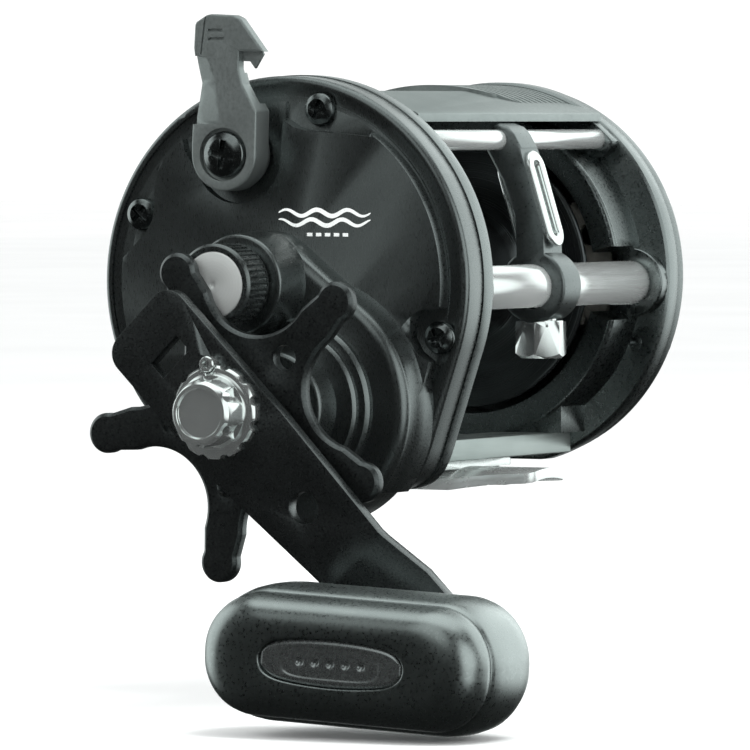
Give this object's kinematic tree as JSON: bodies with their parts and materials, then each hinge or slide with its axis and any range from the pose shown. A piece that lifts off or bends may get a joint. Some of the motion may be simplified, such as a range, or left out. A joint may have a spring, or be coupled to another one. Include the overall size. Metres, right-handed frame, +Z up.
{
  "type": "trolling reel",
  "caption": "Levelwind conventional fishing reel with side crank, star drag, free-spool lever and a moving line guide.",
  "frame": {"origin": "midpoint between the two rod clamp holes, on the underside of the foot's wings", "axes": "+X along the spool axis from the handle side to the left plate, -Y forwards where the line leaves, +Z up away from the rod"},
  "size_m": [0.1888, 0.1248, 0.1369],
  "materials": {
    "black_enamel": "satin black",
    "frame_black": "satin black anodised",
    "thumb_grey": "satin dark grey",
    "chrome": "polished",
    "steel": "machined",
    "black_steel": "blackened",
    "brass": "machined",
    "crank_black": "fine textured black",
    "knob_gunmetal": "satin gunmetal",
    "badge": "satin dark insert",
    "lever_grey": "satin grey",
    "spool_black": "black anodised",
    "guide_grey": "satin dark grey",
    "fibre": "pressed friction fibre",
    "bush": "plain bearing resin",
    "cap_black": "knurled black"
  },
  "bodies": {
    "frame": {"frame_ring_right": "frame_black", "frame_ring_left": "frame_black", "thumb_rest": "thumb_grey", "bottom_plate": "frame_black", "reel_foot": "chrome", "foot_screws": "steel", "guide_rod": "chrome", "levelwind_tube": "chrome", "side_plate_right": "black_enamel", "side_plate_left": "black_enamel", "plate_screws_right": "black_steel", "plate_screws_left": "black_steel", "spool_bush_right": "bush", "spool_bush_left": "bush", "drive_bush": "bush", "bridge_plate": "steel", "bridge_bush": "bush", "bridge_screws": "steel", "yoke_posts": "steel", "idler_stud": "steel", "dog_pin": "steel", "worm_bush_right": "bush", "worm_bush_left": "bush"},
    "handle": {"drive_gear": "brass", "drag_washers": "fibre", "metal_washers": "steel", "drag_sleeve": "steel", "ratchet_wheel": "steel", "drive_shaft": "steel", "crank_spacer": "steel", "crank_arm": "crank_black", "crank_nut": "chrome", "lock_screw": "chrome", "knob_shaft": "steel"},
    "star_drag": {"star_wheel": "crank_black"},
    "knob": {"knob_grip": "knob_gunmetal", "knob_badge": "badge"},
    "lever": {"lever_arm": "lever_grey", "lever_screw": "black_steel", "lever_cam": "steel"},
    "yoke": {"clutch_yoke": "steel"},
    "pinion": {"pinion": "brass"},
    "spool": {"spool_body": "spool_black", "spool_shaft": "steel", "clutch_pin": "steel", "spool_gear": "brass", "click_wheel": "steel"},
    "idler": {"idler_gear": "bush"},
    "worm": {"worm_gear": "bush", "worm_shaft": "steel"},
    "line_guide": {"guide_carriage": "guide_grey", "line_eyelet": "chrome", "pawl_cap": "chrome"},
    "pawl": {"pawl": "steel"},
    "cast_control": {"cast_cap": "cap_black", "cast_cap_inset": "steel", "cast_thrust_pad": "bush"},
    "dog": {"anti_reverse_dog": "steel"},
    "clicker": {"click_button": "cap_black"}
  },
  "joints": [
    {"name": "handle_turn", "type": "hinge", "parent": "frame", "child": "handle", "pos_m": [-0.072, -0.0077, 0.0143], "axis": [1, 0, 0], "continuous": true},
    {"name": "star_turn", "type": "hinge", "parent": "handle", "child": "star_drag", "pos_m": [-0.083, -0.0077, 0.0143], "axis": [1, 0, 0], "range_deg": [-180, 180]},
    {"name": "knob_spin", "type": "hinge", "parent": "handle", "child": "knob", "pos_m": [-0.112, -0.05281, -0.03081], "axis": [1, 0, 0], "continuous": true},
    {"name": "lever_turn", "type": "hinge", "parent": "frame", "child": "lever", "pos_m": [-0.057, 0.0085, 0.064], "axis": [1, 0, 0], "range_deg": [0, 32]},
    {"name": "yoke_slide", "type": "slide", "parent": "frame", "child": "yoke", "axis": [-1, 0, 0], "range_m": [0, 0.00246]},
    {"name": "pinion_spin", "type": "hinge", "parent": "yoke", "child": "pinion", "pos_m": [-0.052, 0, 0.0386], "axis": [1, 0, 0], "continuous": true},
    {"name": "spool_spin", "type": "hinge", "parent": "frame", "child": "spool", "pos_m": [0, 0, 0.0386], "axis": [1, 0, 0], "continuous": true},
    {"name": "idler_spin", "type": "hinge", "parent": "frame", "child": "idler", "pos_m": [0.047, -0.01609, 0.04087], "axis": [1, 0, 0], "continuous": true},
    {"name": "worm_spin", "type": "hinge", "parent": "frame", "child": "worm", "pos_m": [0, -0.0326, 0.03725], "axis": [1, 0, 0], "continuous": true},
    {"name": "guide_slide", "type": "slide", "parent": "frame", "child": "line_guide", "axis": [1, 0, 0], "range_m": [-0.0194, 0.0256]},
    {"name": "pawl_swivel", "type": "hinge", "parent": "line_guide", "child": "pawl", "pos_m": [-0.0032, -0.0326, 0.02925], "axis": [0, 0, 1], "range_deg": [-25, 25]},
    {"name": "cast_cap_turn", "type": "hinge", "parent": "frame", "child": "cast_control", "pos_m": [-0.077, 0, 0.0386], "axis": [1, 0, 0], "range_deg": [-180, 180]},
    {"name": "dog_lift", "type": "hinge", "parent": "frame", "child": "dog", "pos_m": [-0.052, 0.0099, 0.0209], "axis": [-1, 0, 0], "range_deg": [0, 14], "stiffness_Nm_per_rad": 0.002, "springref_deg": -11.46},
    {"name": "click_slide", "type": "slide", "parent": "frame", "child": "clicker", "axis": [0, 0, 1], "range_m": [-0.003, 0.003]}
  ],
  "couplings": [
    {"joint": "yoke_slide", "follows": "lever_turn", "m_per_rad": 0.0044},
    {"joint": "pinion_spin", "follows": "handle_turn", "ratio": -6.1},
    {"joint": "spool_spin", "follows": "handle_turn", "ratio": -6.1},
    {"joint": "idler_spin", "follows": "handle_turn", "ratio": 1.9263},
    {"joint": "worm_spin", "follows": "handle_turn", "ratio": -5.2286}
  ]
}
